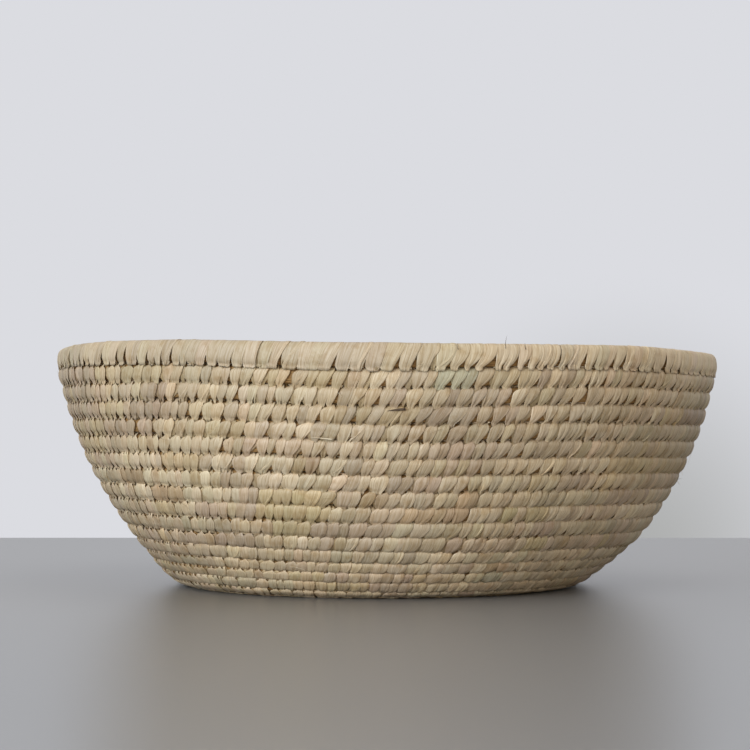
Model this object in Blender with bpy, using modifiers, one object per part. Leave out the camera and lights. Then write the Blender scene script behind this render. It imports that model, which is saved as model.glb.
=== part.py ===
"""Palm leaf bowl: one bundle of stems, wrapped in leaf and coiled from the centre of the base to the rim.

Metres, +Z up. The bowl's axis is Z, and the base rests on Z = 0. Seen from above, the coil runs
clockwise: it starts at the centre, lies flat through the base, climbs the wall and ends as a thicker
rim. The overall diameter and height follow from the coil's widths, its rounds and the wall's leans.
"""
import math

import bpy
from mathutils import Vector

# Widths of the stem bundle, across the ridges of the bore that it fills
BASE_CORE_WIDTH = 0.00415
WALL_CORE_WIDTH = 0.00586
RIM_CORE_WIDTH = 0.0092
CORE_TIP_WIDTH = 0.0012

# Leaf wrap and the clearances around it
WRAP_THICKNESS = 0.0009
CORE_CLEARANCE = 0.00025
ROUND_GAP = 0.00045
JOINT_GAP = 0.0003
CENTRE_HOLE_RADIUS = 0.0003

# Rounds of the coil, counted from the centre outwards
BASE_ROUNDS = 14
WALL_ROUNDS = 16
FOOT_ROUNDS = 4
START_TAPER_TURNS = 1.0
FOOT_SWELL_TURNS = 1.0

# Lean of the wall from the floor: it rises over the edge of the base, then over the foot, then to the lip
EDGE_TURNS = 0.9
EDGE_LEAN = math.radians(38)
FOOT_TURNS = 4.85
BELLY_LEAN = math.radians(53)
LIP_LEAN = math.radians(79)
RIM_LEAN = math.radians(92)

# The rim swells out of the last wall round, and tapers to its end on top of its own start
RIM_SWELL_TURNS = 0.25
RIM_FULL_TURNS = 0.4
RIM_TAPER_TURNS = 0.45
RIM_TURNS = RIM_SWELL_TURNS + RIM_FULL_TURNS + RIM_TAPER_TURNS

# Points of the path in one turn: near the centre, and twice as many in the rounds outside that
INNER_POINTS_PER_TURN = 10
POINTS_PER_TURN = 2 * INNER_POINTS_PER_TURN
INNER_ROUNDS = 5
START_AZIMUTH = math.radians(90)

# A wrap has six sides, with ridges towards its neighbours, and the bundle inside it has four
SIX_SIDED_BEVEL = 1
FOUR_SIDED_BEVEL = 0
RIDGE_TO_FLAT = math.cos(math.radians(30))

# Leaf and stem colours, from bleached straw to a pinkish brown
STRAW = (0.60, 0.49, 0.34)
BROWN = (0.42, 0.30, 0.22)
STEM = (0.33, 0.24, 0.15)
LEAF_ROUGHNESS = 0.6
STEM_ROUGHNESS = 0.85
SHADE_CYCLE = 5


def ramp(value, start, length):
    """0 up to start, then a straight rise to 1 over the length."""
    return min(max((value - start) / length, 0.0), 1.0)


def core_width(turn):
    """Width of the stem bundle's bore, less its clearance, after so many turns."""
    wall_start = BASE_ROUNDS + FOOT_ROUNDS
    rim_start = BASE_ROUNDS + WALL_ROUNDS
    taper_start = rim_start + RIM_SWELL_TURNS + RIM_FULL_TURNS
    width = CORE_TIP_WIDTH
    width += (BASE_CORE_WIDTH - CORE_TIP_WIDTH) * ramp(turn, 0, START_TAPER_TURNS)
    width += (WALL_CORE_WIDTH - BASE_CORE_WIDTH) * ramp(turn, wall_start, FOOT_SWELL_TURNS)
    width += (RIM_CORE_WIDTH - WALL_CORE_WIDTH) * ramp(turn, rim_start, RIM_SWELL_TURNS)
    width += (CORE_TIP_WIDTH - RIM_CORE_WIDTH) * ramp(turn, taper_start, RIM_TAPER_TURNS)
    return width


def coil_width(turn):
    """Width of the wrapped coil: the bundle, its clearance and the wrap on both sides."""
    return core_width(turn) + 2 * (WRAP_THICKNESS + CORE_CLEARANCE) / RIDGE_TO_FLAT


def core_tube_width(turn):
    """Width across the corners of the four-sided bundle, which reach the flats of its bore."""
    return core_width(turn) * RIDGE_TO_FLAT


def lean(turn):
    """Angle between the wall and the floor after so many turns."""
    foot = BASE_ROUNDS + EDGE_TURNS
    belly = foot + FOOT_TURNS
    lip = BASE_ROUNDS + WALL_ROUNDS
    angle = EDGE_LEAN * ramp(turn, BASE_ROUNDS, EDGE_TURNS)
    angle += (BELLY_LEAN - EDGE_LEAN) * ramp(turn, foot, FOOT_TURNS)
    angle += (LIP_LEAN - BELLY_LEAN) * ramp(turn, belly, lip - belly)
    angle += (RIM_LEAN - LIP_LEAN) * ramp(turn, lip, RIM_SWELL_TURNS)
    return angle


def wall_direction(turn):
    """Unit step in radius and height along the wall, away from the centre."""
    return Vector((math.cos(lean(turn)), math.sin(lean(turn))))


def round_step(turn):
    """Step in radius and height from the inner edge of the coil to its outer edge."""
    return wall_direction(turn) * (coil_width(turn) + ROUND_GAP)


def coil_middle(station):
    """Radius and height of the coil's middle, where each round is laid on the one before."""
    rounds, place = divmod(station, POINTS_PER_TURN)
    first = place / POINTS_PER_TURN
    rest_height = coil_width(BASE_ROUNDS) / 2 * RIDGE_TO_FLAT
    edge = Vector((CENTRE_HOLE_RADIUS + first * round_step(0).x, rest_height))
    for lap in range(rounds):
        edge += round_step(first + lap)
    return edge + round_step(first + rounds) / 2


def path_stations():
    """Stations of the path's points, every second one left out near the centre."""
    inner_end = INNER_ROUNDS * POINTS_PER_TURN
    path_end = round((BASE_ROUNDS + WALL_ROUNDS + RIM_TURNS) * POINTS_PER_TURN)
    return list(range(0, inner_end, 2)) + list(range(inner_end, path_end + 1))


def path_point(station):
    """Place, turn and lean of the path at one station."""
    turn = station / POINTS_PER_TURN
    azimuth = START_AZIMUTH - 2 * math.pi * turn
    radius, height = coil_middle(station)
    place = Vector((radius * math.cos(azimuth), radius * math.sin(azimuth), height))
    return place, turn, lean(turn)


def between(near, far, gap):
    """Point on the chord between two path points, past its middle by half the gap."""
    chord = far[0] - near[0]
    share = 0.5 + gap / 2 / chord.length
    return tuple(a + (b - a) * share for a, b in zip(near, far))


def coil_tube(name, points, width, resolution, collection, material):
    """Curve tube along the points, with its first ridge turned to the lean of the wall."""
    curve = bpy.data.curves.new(name, "CURVE")
    curve.dimensions = "3D"
    curve.twist_mode = "Z_UP"
    curve.bevel_resolution = resolution
    curve.bevel_depth = width(BASE_ROUNDS) / 2
    spline = curve.splines.new("POLY")
    spline.points.add(len(points) - 1)
    for point, (place, turn, angle) in zip(spline.points, points):
        point.co = (*place, 1)
        point.radius = width(turn) / width(BASE_ROUNDS)
        point.tilt = angle
    curve.materials.append(material)
    tube = bpy.data.objects.new(name, curve)
    collection.objects.link(tube)
    return tube


def surface_material(name, colour, roughness):
    """Plain dry plant surface."""
    material = bpy.data.materials.new(name)
    material.use_nodes = True
    shader = material.node_tree.nodes["Principled BSDF"]
    shader.inputs["Base Color"].default_value = (*colour, 1)
    shader.inputs["Roughness"].default_value = roughness
    shader.inputs["Metallic"].default_value = 0
    material.diffuse_color = (*colour, 1)
    return material


def leaf_material(name, index):
    """Leaf colour that steps from straw to brown and back, as bunches of leaf differ."""
    step = index % SHADE_CYCLE
    share = min(step, SHADE_CYCLE - step) / (SHADE_CYCLE / 2)
    colour = Vector(STRAW).lerp(Vector(BROWN), share)
    return surface_material(name + "_leaf", tuple(colour), LEAF_ROUGHNESS)


def make_wrap(name, index, points, collection):
    """Leaf wrap of one round: an open tube with a wall, through which the bundle runs."""
    material = leaf_material(name, index)
    wrap = coil_tube(name, points, coil_width, SIX_SIDED_BEVEL, collection, material)
    wrap.data.use_fill_caps = False
    wall = wrap.modifiers.new("Leaf thickness", "SOLIDIFY")
    wall.thickness = WRAP_THICKNESS
    wall.offset = -1
    wall.use_even_offset = True
    wall.use_rim = True
    return wrap


def make_core(points, collection):
    """Unbroken stem bundle inside all the wraps."""
    material = surface_material("dry_stems", STEM, STEM_ROUGHNESS)
    core = coil_tube("foundation_core", points, core_tube_width, FOUR_SIDED_BEVEL, collection, material)
    core.data.use_fill_caps = True
    return core


def round_names():
    """Node name and first and last turn of each wrap, from the centre outwards."""
    names = [("base_wrap_01", 0, 2)]
    for lap in range(2, BASE_ROUNDS):
        names.append((f"base_wrap_{lap:02d}", lap, lap + 1))
    for lap in range(WALL_ROUNDS):
        names.append((f"wall_wrap_{lap + 1:02d}", BASE_ROUNDS + lap, BASE_ROUNDS + lap + 1))
    rim_start = BASE_ROUNDS + WALL_ROUNDS
    names.append(("rim_wrap", rim_start, rim_start + RIM_TURNS))
    return names


def make_wraps(stations, points, collection):
    """One wrap a round, with a small gap where the next one takes over."""
    names = round_names()
    for index, (name, start, end) in enumerate(names):
        first = stations.index(round(start * POINTS_PER_TURN))
        last = stations.index(round(end * POINTS_PER_TURN))
        run = points[first + 1:last + 1]
        if index == 0:
            run.insert(0, points[first])
        else:
            run.insert(0, between(points[first], points[first + 1], JOINT_GAP))
        if index < len(names) - 1:
            run.append(between(points[last], points[last + 1], -JOINT_GAP))
        make_wrap(name, index, run, collection)


def ridge(station, side):
    """Radius and height of the coil's outer ridge, or of its inner one with side -1."""
    turn = station / POINTS_PER_TURN
    return coil_middle(station) + wall_direction(turn) * side * coil_width(turn) / 2


def least_round_gap():
    """Least gap between two rounds, measured on the ridges that face each other."""
    gaps = []
    for station in range(POINTS_PER_TURN, path_stations()[-1] + 1):
        outer = ridge(station - POINTS_PER_TURN, 1)
        gaps.append((ridge(station, -1) - outer).length)
    return min(gaps)


def clear_scene():
    """Remove what the scene holds, and keep the file open."""
    for item in list(bpy.data.objects):
        bpy.data.objects.remove(item, do_unlink=True)


def main():
    """Build the bowl in a collection of its own."""
    clear_scene()
    collection = bpy.data.collections.new("palm_leaf_bowl")
    bpy.context.scene.collection.children.link(collection)
    stations = path_stations()
    points = [path_point(station) for station in stations]
    make_core(points, collection)
    make_wraps(stations, points, collection)
    print(f"Least gap between rounds: {least_round_gap() * 1000:.2f} mm")


main()
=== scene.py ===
"""Palm leaf bowl: leaf stitches, the stem bundle that they hold, stray fibres, floor, light and camera.

Metres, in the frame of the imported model. The coil keeps the path of its solids: it starts at the centre of
the base and runs clockwise, seen from above, and `turn` counts its rounds. Every point of a stitch or of
the bundle is placed by its turn and by its offsets across the coil, so that all of them share one path.
"""
import math
from collections import namedtuple

import bpy
import numpy as np
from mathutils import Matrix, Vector


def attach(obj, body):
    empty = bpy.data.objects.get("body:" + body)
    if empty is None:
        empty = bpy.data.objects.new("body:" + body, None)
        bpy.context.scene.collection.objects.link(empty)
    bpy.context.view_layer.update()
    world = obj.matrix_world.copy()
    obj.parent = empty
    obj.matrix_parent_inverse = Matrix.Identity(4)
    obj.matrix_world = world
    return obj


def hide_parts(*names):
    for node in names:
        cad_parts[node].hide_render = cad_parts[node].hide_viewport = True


MM = 0.001
SEED = 7

# The coil of the solids: widths, clearances, rounds, leans and rim, and steps of its table in a turn
BASE_CORE_WIDTH = 4.15 * MM
WALL_CORE_WIDTH = 5.86 * MM
RIM_CORE_WIDTH = 9.2 * MM
CORE_TIP_WIDTH = 1.2 * MM
WRAP_THICKNESS = 0.9 * MM
CORE_CLEARANCE = 0.25 * MM
ROUND_GAP = 0.45 * MM
CENTRE_HOLE_RADIUS = 0.3 * MM
BASE_ROUNDS = 14
WALL_ROUNDS = 16
FOOT_ROUNDS = 4
START_TAPER_TURNS = 1.0
FOOT_SWELL_TURNS = 1.0
EDGE_TURNS = 0.9
EDGE_LEAN = math.radians(38)
FOOT_TURNS = 4.85
BELLY_LEAN = math.radians(53)
LIP_LEAN = math.radians(79)
RIM_LEAN = math.radians(92)
RIM_SWELL_TURNS = 0.25
RIM_FULL_TURNS = 0.4
RIM_TAPER_TURNS = 0.45
RIM_START = BASE_ROUNDS + WALL_ROUNDS
COIL_END = RIM_START + RIM_SWELL_TURNS + RIM_FULL_TURNS + RIM_TAPER_TURNS
START_AZIMUTH = math.radians(90)
RIDGE_TO_FLAT = math.cos(math.radians(30))
TABLE_STEPS = 400

# Wander of a coil laid by hand, in waves: size, cycles in a turn, drift in each turn and phase. Outwards it
# comes in over some rounds of the base, and upwards over the wall
WANDER_OUT = ((0.50 * MM, 2, 0.13, 1.0), (0.30 * MM, 3, -0.21, 2.2), (0.12 * MM, 7, 1.3, 0.0))
WANDER_UP = ((0.25 * MM, 3, 0.17, 0.0), (0.15 * MM, 5, -0.4, 0.0))
WANDER_START, WANDER_RISE = 4, 12

# The lip's rise round one turn, in millimetres, and how it is smoothed
LIP_TURNS = (0, 0.125, 0.25, 0.32, 0.39, 0.5, 0.60, 0.68, 0.75, 0.875, 1.0)
LIP_RISES = (-0.4, -0.6, -1.1, 0.5, 2.3, -0.1, 3.0, 1.7, -2.2, -1.0, -0.4)
LIP_STEPS, LIP_WINDOW = 400, 41

# The base sits off the rim's axis, and the wall makes up for it between two turns
BASE_SHIFT = -4.4 * MM
BASE_SHIFT_TURNS = (14.2, 20.0)

# Thickness of the rim round its turn, as a share of the solid's
RIM_PLACES = (0, 0.12, 0.25, 0.32, 0.37, 0.41, 0.45, 0.50, 0.58, 0.63, 0.70, 0.75, 0.86, 1.0)
RIM_SCALES = (1.0, 0.96, 0.87, 0.89, 0.92, 0.89, 0.94, 1.03, 0.94, 0.89, 0.85, 0.87, 0.96, 1.0)

# The squarish section of the coil that leaf is wrapped on, and the ends of a strip in the groove below it
SQUARENESS_TURNS = (14.0, 20.0, 24.0, 30.0, 30.3)
SQUARENESSES = (3.4, 2.9, 2.6, 2.5, 2.8)
LEAF_ROOM = 0.60 * MM
TIP_FROM = 0.88
TIP_ANGLE = math.radians(52)
TIP_DEPTH, RIM_TIP_RISE = 1.5 * MM, 0.3
TIP_OUT_SHARE, LOW_TIP_OUT_SHARE, RIM_TIP_OUT_SHARE = 0.69, 0.62, 0.74

# A kind of leaf strip: its grid, its heights above the section, and its outline in shares of its spacing
Strip = namedtuple(
    "Strip",
    "across along bed crown lap puff edge_drop back half_width outer_taper rim_taper inner_taper "
    "taper_power shoulder advance advance_spread reach_spread creases crease_depths split_share",
)
STITCH = Strip(
    across=np.array([-1, -0.94, -0.78, -0.58, -0.38, -0.18, 0.02, 0.22, 0.42, 0.62, 0.8, 0.94, 1.0]),
    along=np.concatenate([np.linspace(-1, -0.12, 10), [0.0], np.linspace(0.08, 1, 14)]),
    bed=0.12 * MM, crown=0.22 * MM, lap=0.27 * MM, puff=0.16 * MM, edge_drop=0.18 * MM, back=-0.25 * MM,
    half_width=0.62, outer_taper=0.52, rim_taper=0.52, inner_taper=0.5, taper_power=1.35, shoulder=0.72,
    advance=0.37, advance_spread=0.2, reach_spread=0.08,
    creases=4, crease_depths=(0.04 * MM, 0.20 * MM), split_share=0.22,
)
UNDERLAY = STITCH._replace(
    across=np.array([-1, -0.9, -0.5, -0.1, 0.3, 0.65, 0.9, 1.0]),
    along=np.concatenate([np.linspace(-1, -0.2, 5), [0.0], np.linspace(0.15, 1, 8)]),
    bed=-0.26 * MM, crown=0.14 * MM, lap=0.10 * MM, puff=0.05 * MM, edge_drop=0.15 * MM, back=-0.65 * MM,
    half_width=0.42, outer_taper=0.5, rim_taper=0.75, inner_taper=0.15, shoulder=1.1,
    advance=0.30, advance_spread=0.9, reach_spread=0.04,
    creases=2, crease_depths=(0.05 * MM, 0.15 * MM), split_share=0.3,
)
SLIVER = STITCH._replace(
    across=np.array([-1, -0.85, -0.4, 0, 0.4, 0.85, 1.0]),
    along=np.concatenate([np.linspace(-1, -0.2, 5), [0.0], np.linspace(0.12, 1, 10)]),
    bed=0.36 * MM, crown=0.10 * MM, lap=0.06 * MM, puff=0.20 * MM, edge_drop=0.12 * MM, back=0.0,
    half_width=0.15, outer_taper=0.35, rim_taper=0.2, inner_taper=0.15, shoulder=0.2,
    advance=0.80, creases=1, crease_depths=(0.02 * MM, 0.08 * MM), split_share=0.0,
)


def ramp(value, start, length):
    """0 up to start, then a straight rise to 1 over the length."""
    return np.clip((value - start) / length, 0.0, 1.0)


def rise(value, limits):
    """0 up to the first limit, then a straight rise to 1 at the second."""
    return ramp(value, limits[0], limits[1] - limits[0])


def ease(value, limits):
    """0 up to the first limit, then a smooth rise to 1 at the second."""
    share = rise(value, limits)
    return share * share * (3 - 2 * share)


def waves(turn, cycles):
    """Slow change along the coil, from a few waves given by their cycles in a turn and their phases."""
    return sum(np.sin(2 * math.pi * cycle * turn + phase) for cycle, phase in cycles) / len(cycles) ** 0.5


def linear(red, green, blue):
    """Scene colour of an sRGB colour given from 0 to 255."""
    encoded = np.array([red, green, blue]) / 255
    return np.where(encoded < 0.04045, encoded / 12.92, ((encoded + 0.055) / 1.055) ** 2.4)


def stepped(turn, first, changes):
    """A first value with its changes along the coil: the amount, first turn and length of each."""
    return sum((amount * ramp(turn, start, length) for amount, start, length in changes), first)


def core_width(turn):
    """Width of the stem bundle after so many turns."""
    taper_start = RIM_START + RIM_SWELL_TURNS + RIM_FULL_TURNS
    changes = (
        (BASE_CORE_WIDTH - CORE_TIP_WIDTH, 0, START_TAPER_TURNS),
        (WALL_CORE_WIDTH - BASE_CORE_WIDTH, BASE_ROUNDS + FOOT_ROUNDS, FOOT_SWELL_TURNS),
        (RIM_CORE_WIDTH - WALL_CORE_WIDTH, RIM_START, RIM_SWELL_TURNS),
        (CORE_TIP_WIDTH - RIM_CORE_WIDTH, taper_start, RIM_TAPER_TURNS),
    )
    return stepped(turn, CORE_TIP_WIDTH, changes)


def coil_width(turn):
    """Width of the wrapped coil along the wall."""
    return core_width(turn) + 2 * (WRAP_THICKNESS + CORE_CLEARANCE) / RIDGE_TO_FLAT


def lean(turn):
    """Angle between the wall and the floor after so many turns."""
    foot = BASE_ROUNDS + EDGE_TURNS
    belly = foot + FOOT_TURNS
    changes = (
        (EDGE_LEAN, BASE_ROUNDS, EDGE_TURNS),
        (BELLY_LEAN - EDGE_LEAN, foot, FOOT_TURNS),
        (LIP_LEAN - BELLY_LEAN, belly, RIM_START - belly),
        (RIM_LEAN - LIP_LEAN, RIM_START, RIM_SWELL_TURNS),
    )
    return stepped(turn, 0, changes)


def round_step(turn):
    """Step in radius and height from the inner edge of the coil to its outer edge."""
    step = coil_width(turn) + ROUND_GAP
    return np.stack([np.cos(lean(turn)) * step, np.sin(lean(turn)) * step], -1)


def path_table():
    """Turns, and the radius and height of the coil's middle there, each round laid on the one before."""
    turns = np.arange(math.ceil((COIL_END + 1) * TABLE_STEPS)) / TABLE_STEPS
    steps = round_step(turns)
    edges = np.empty_like(steps)
    first = turns[:TABLE_STEPS, None]
    rest_height = coil_width(float(BASE_ROUNDS)) / 2 * RIDGE_TO_FLAT
    edges[:TABLE_STEPS] = np.array([CENTRE_HOLE_RADIUS, rest_height]) + first * steps[0] * [1, 0]
    for start in range(TABLE_STEPS, len(turns), TABLE_STEPS):
        end = min(start + TABLE_STEPS, len(turns))
        before = slice(start - TABLE_STEPS, end - TABLE_STEPS)
        edges[start:end] = edges[before] + steps[before]
    middles = edges + steps / 2
    return turns, middles[:, 0], middles[:, 1]


PATH_TURNS, PATH_RADII, PATH_HEIGHTS = path_table()


def lip_table():
    """Rise of the lip round one turn, without kinks."""
    places = np.arange(LIP_STEPS) / LIP_STEPS
    rises = np.interp(places, LIP_TURNS, LIP_RISES) * MM
    kernel = np.hanning(LIP_WINDOW + 2)[1:-1]
    wrapped = np.concatenate([rises[-LIP_WINDOW:], rises, rises[:LIP_WINDOW]])
    rises = np.convolve(wrapped, kernel / kernel.sum(), "same")[LIP_WINDOW:-LIP_WINDOW]
    return np.append(places, 1.0), np.append(rises, rises[0])


LIP_PLACES, LIP_HEIGHTS = lip_table()


def rim_scale(turn):
    """Thickness of the coil as a share of its solid's: it differs from 1 only in the rim."""
    scale = np.interp(turn % 1, RIM_PLACES, RIM_SCALES)
    return 1 + (scale - 1) * ramp(turn, RIM_START, RIM_SWELL_TURNS)


def meander(turn, table):
    """Sum of waves along the coil, each given by its size, cycles in a turn, drift and phase."""
    angle = 2 * math.pi * turn
    return sum(size * np.sin(cycles * angle + drift * turn + phase) for size, cycles, drift, phase in table)


def wander(turn):
    """How far the coil strays out and up, alike in neighbouring rounds. The base stays flat."""
    out = meander(turn, WANDER_OUT) * ramp(turn, WANDER_START, WANDER_RISE)
    up = np.interp(turn % 1, LIP_PLACES, LIP_HEIGHTS) + meander(turn, WANDER_UP)
    sunk = (1 - rim_scale(turn)) * (coil_width(turn) + ROUND_GAP) / 2
    return out, up * ramp(turn, BASE_ROUNDS, WALL_ROUNDS) - sunk


def place(turn, out, along):
    """Points at offsets out of the wall and along it, from the coil's middle at each turn."""
    stray_out, stray_up = wander(turn)
    radius = np.interp(turn, PATH_TURNS, PATH_RADII) + stray_out
    height = np.interp(turn, PATH_TURNS, PATH_HEIGHTS) + stray_up
    angle = lean(turn)
    radius = radius + np.sin(angle) * out + np.cos(angle) * along
    height = height - np.cos(angle) * out + np.sin(angle) * along
    azimuth = START_AZIMUTH - 2 * math.pi * turn
    shift = BASE_SHIFT * (1 - ease(turn, BASE_SHIFT_TURNS))
    points = [radius * np.cos(azimuth) + shift, radius * np.sin(azimuth), np.maximum(height, 0)]
    return np.stack(points, -1)


def half_sizes(turn):
    """Half of the section that leaf is wrapped on, out of the wall and along it."""
    scale = rim_scale(turn)
    out = coil_width(turn) / 2 * RIDGE_TO_FLAT - LEAF_ROOM
    along = (coil_width(turn) + ROUND_GAP) / 2
    return out * scale, along * scale


def section(turn, angle, half_out, half_along):
    """Offsets and outward direction of a squarish oval, at an angle from its outermost point."""
    cosine, sine = np.cos(angle), np.sin(angle)
    power = 2 / np.interp(turn, SQUARENESS_TURNS, SQUARENESSES)
    out = np.sign(cosine) * np.abs(cosine) ** power
    along = np.sign(sine) * np.abs(sine) ** power
    normal_out = np.sign(cosine) * np.abs(cosine) ** (2 - power) / half_out
    normal_along = np.sign(sine) * np.abs(sine) ** (2 - power) / half_along
    size = np.hypot(normal_out, normal_along)
    return out * half_out, along * half_along, normal_out / size, normal_along / size


# Spacing of the stitches along the coil, from the centre outwards
PITCH_TURNS = (0, 2, 6, 14, 18, 24, 30, 31)
PITCHES = np.array([3.2, 3.6, 4.6, 5.7, 6.3, 6.5, 6.6, 6.4]) * MM
PITCH_JITTER = 0.2
PITCH_WAVES, PITCH_SWING = ((2.3, 0.4), (5.9, 2.1), (11.7, 4.0)), 0.15

# Zones of the wall, as turns between which they come or go: the low rounds, the high ones, and the low ones
# at the left, where a roundness of LEFT_FULL counts as wholly left. The rim's zone comes in over RIM_CHANGE
LOW_TURNS, HIGH_TURNS, LEFT_LOW_TURNS = (17.0, 27.0), (19.0, 26.0), (24.0, 27.5)
LEFT_FULL = 0.5
RIM_CHANGE = 0.2

# What changes with the side of the bowl, at places round a turn: 0 is the back, 0.25 the right, 0.5 the
# front and 0.75 the left
SIDE_PLACES = (0, 0.30, 0.40, 0.50, 0.58, 0.66, 0.75, 1)
SIDE_PITCH = (0.9, 0.86, 0.92, 1.0, 0.94, 0.88, 0.86, 0.9)
SIDE_ROUNDNESS = (0.2, -0.55, -0.55, -0.35, 0.15, 0.5, 0.55, 0.4)
SIDE_RELIEF = (1.0, 1.3, 1.3, 1.1, 0.85, 0.55, 0.35, 0.9)
SIDE_TAPERS = (0, 0.25, 0.26, 0.03, -0.04, -0.04, -0.02, 0)
RIM_SIDE_TAPERS = (0, -0.35, -0.25, -0.42, -0.34, -0.22, -0.22, 0)
SIDE_ADVANCES = (1.0, 1.35, 1.35, 1.22, 1.05, 1.0, 1.0, 1.0)
# Painted light and shade on the high rounds of the wall: their leaf is lightened or darkened by the side of
# the bowl
WALL_PAINTED_SHADES = (1.0, 0.94, 1.05, 0.93, 0.955, 1.03, 1.05, 1.0)

# Where the coil's visible face begins and ends, in shares of half its height
FACE_TOP, FACE_BOTTOM, LEFT_FACE_DROP = 0.88, 0.88, 0.3

# Tops of the stitches, rounded more or less in each stretch of the coil, and leaning to one side
SHAPE_WAVES, STRETCH_SHARE = ((1.7, 1.1), (4.3, 5.2), (9.1, 2.7)), 0.6
SHOULDER_LENGTH, LOW_SHOULDER, SIDE_SHOULDER = 0.36, 0.04, 0.30
SHOULDER_SWING, LOW_ROUNDNESS, HIGH_ROUNDNESS = 0.80, -0.25, -0.1
NARROWING_SPREAD, NARROWING_LIMITS = 0.3, (0.1, 0.85)
TOP_SKEW, LEFT_EVENNESS = 0.6, 1.7

# Tips of the stitches: how much they narrow, and the power by which they do so on the way down
TAPER_SWING, TAPER_SPREAD, MOST_TAPER = 0.18, 0.2, 0.92
LOW_TAPER, LEFT_LOW_TAPER = -0.32, -0.5
SIDE_POWER, LOW_POWER, LEFT_LOW_POWER, RIM_POWER = 1.0, 0.7, -0.5, 1.0
TIP_NARROWING, RIM_TIP_WIDENING = 0.45, 0.35

# Width of the stitches, how far they swing along the coil on the way down, and how far their ends reach
WIDTH_SPREAD, SIDE_WIDENING, RIM_WIDENING = 0.08, 0.08, 0.05
INNER_ADVANCE, LOW_ADVANCE, RIM_ADVANCE = 0.30, -0.4, 0.15
MERIDIAN_TURNS, MERIDIAN_ADVANCE = (18.0, 30.0), 0.9
RIM_REACH_SPREAD = 0.19

# Relief of the stitches: crown, lap, puff and edge, folds that deepen towards the tip, ripples and splits
RIM_FLATNESS = 0.3
CROWN_SPREAD, CROWN_POWER = 0.2, 2.6
LAP_SPREAD = 0.25
PUFF_SHARE, PUFF_SPREAD, PUFF_POWER = 0.8, 0.35, 1.5
EDGE_FROM = 0.99
FOLD_START, FOLD_GROWTH, FOLD_POWER = 0.3, 1.3, 1.5
FOLD_KNOTS, FOLD_KNOT_SPREAD = 5, 0.07 * MM
CREASE_MARGIN, CREASE_SHARE = 2, 0.75
SPLIT_DEPTH = 0.36 * MM
RIPPLE = 0.05 * MM
RIPPLE_CYCLES, RIPPLE_PHASES, RIPPLE_SLANT = (4, 9), (0, 6), 2

# How many stitches have wrapping under them and slivers over them, from which turn on, and their shades. The
# wrapping's darker colour is painted shade of the gaps between the stitches that it lies in
UNDERLAY_SHARE, RIM_UNDERLAY_SHARE, UNDERLAY_START = 0.84, 0.6, 3
UNDERLAY_PAINTED_SHADE = (0.82, 0.79, 0.70)
SLIVER_SHARE, SLIVER_START = 0.22, 15
SLIVER_SHADE = 1.12

# Where the rim's stitches leave open gaps below them, at the front right, and the stitches under the gaps
OPEN_TURNS = (RIM_START + 0.41, RIM_START + 0.48)
OPEN_TAPER, OPEN_POWER = 0.12, 2.3
UNDER_OPEN_FULLNESS = 0.7

# Leaf colours as seen in even light, with how common each is, and how they come in runs and differ
LEAF_TINTS = (
    ((221, 206, 177), 0.34),
    ((231, 218, 191), 0.22),
    ((214, 198, 172), 0.15),
    ((208, 192, 169), 0.08),
    ((217, 206, 178), 0.06),
    ((220, 203, 168), 0.06),
    ((214, 199, 165), 0.09),
)
LEAF_CAST = (0.940, 0.912, 0.885)
PALEST = 0.9
RUN_LENGTHS = (2, 10)
RUN_SPREAD, STITCH_SPREAD, TINT_SPREAD = 0.055, 0.075, 0.012
ODD_SHARE = 0.12

# The rim's calmer colour, and the painted light and shade that lighten or darken it round its turn
RIM_TINT, RIM_CALM, RIM_EVENNESS = (220, 208, 183), 0.8, 0.6
RIM_PAINTED_SHADE_PLACES = (0.0, 0.30, 0.39, 0.44, 0.50, 0.61, 0.72, 1.0)
RIM_PAINTED_SHADES = (0.97, 1.18, 1.23, 1.07, 0.92, 0.89, 1.02, 1.02)

# Runs of stitches in a leaf of another colour: the colour, and the first and last turn of each run
GREENISH, YELLOWISH, PINKISH = (208, 206, 180), (213, 199, 161), (206, 191, 168)
TAN, STRAW = (209, 188, 156), (224, 209, 178)
ACCENTS = (
    (GREENISH, (29.459, 29.480), (16.413, 16.434)),
    (STRAW, (29.430, 29.459), (29.600, 29.662), (20.430, 20.470)),
    (PINKISH, (29.662, 29.733), (28.666, 28.696), (28.609, 28.627), (28.443, 28.470), (28.491, 28.499)),
    (PINKISH, (27.674, 27.733), (27.611, 27.640), (27.471, 27.486), (24.509, 24.523), (23.471, 23.497)),
    (TAN, (24.533, 24.541), (23.642, 23.666), (22.617, 22.640), (22.501, 22.510), (22.450, 22.466)),
    (TAN, (21.459, 21.489), (19.604, 19.618), (17.415, 17.434)),
    (YELLOWISH, (22.530, 22.569), (21.528, 21.572), (21.431, 21.439), (21.406, 21.419)),
    (YELLOWISH, (20.539, 20.568), (19.399, 19.413)),
)


def stitch_turns(generator):
    """Turn of the middle of each stitch, from the centre to the end of the rim."""
    turns = PATH_TURNS[PATH_TURNS <= COIL_END]
    radii = PATH_RADII[: len(turns)]
    lengths = np.concatenate([[0], np.diff(turns) * 2 * math.pi * (radii[1:] + radii[:-1]) / 2])
    spacing = np.interp(turns, PITCH_TURNS, PITCHES) * (1 + PITCH_SWING * waves(turns, PITCH_WAVES))
    spacing = spacing * np.interp(turns % 1, SIDE_PLACES, SIDE_PITCH)
    counts = np.cumsum(lengths / spacing)
    numbers = np.arange(int(counts[-1])) + 0.5
    numbers = numbers + generator.uniform(-PITCH_JITTER, PITCH_JITTER, len(numbers))
    return np.interp(numbers, counts, turns)


def side_painted_shade(turns, places, shades, weight):
    """Painted light and shade of the leaf on the side of the bowl that each stitch is on, in full where the
    weight is 1.
    """
    return 1 + (np.interp(turns % 1, places, shades)[:, None] - 1) * weight[:, None]


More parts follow.
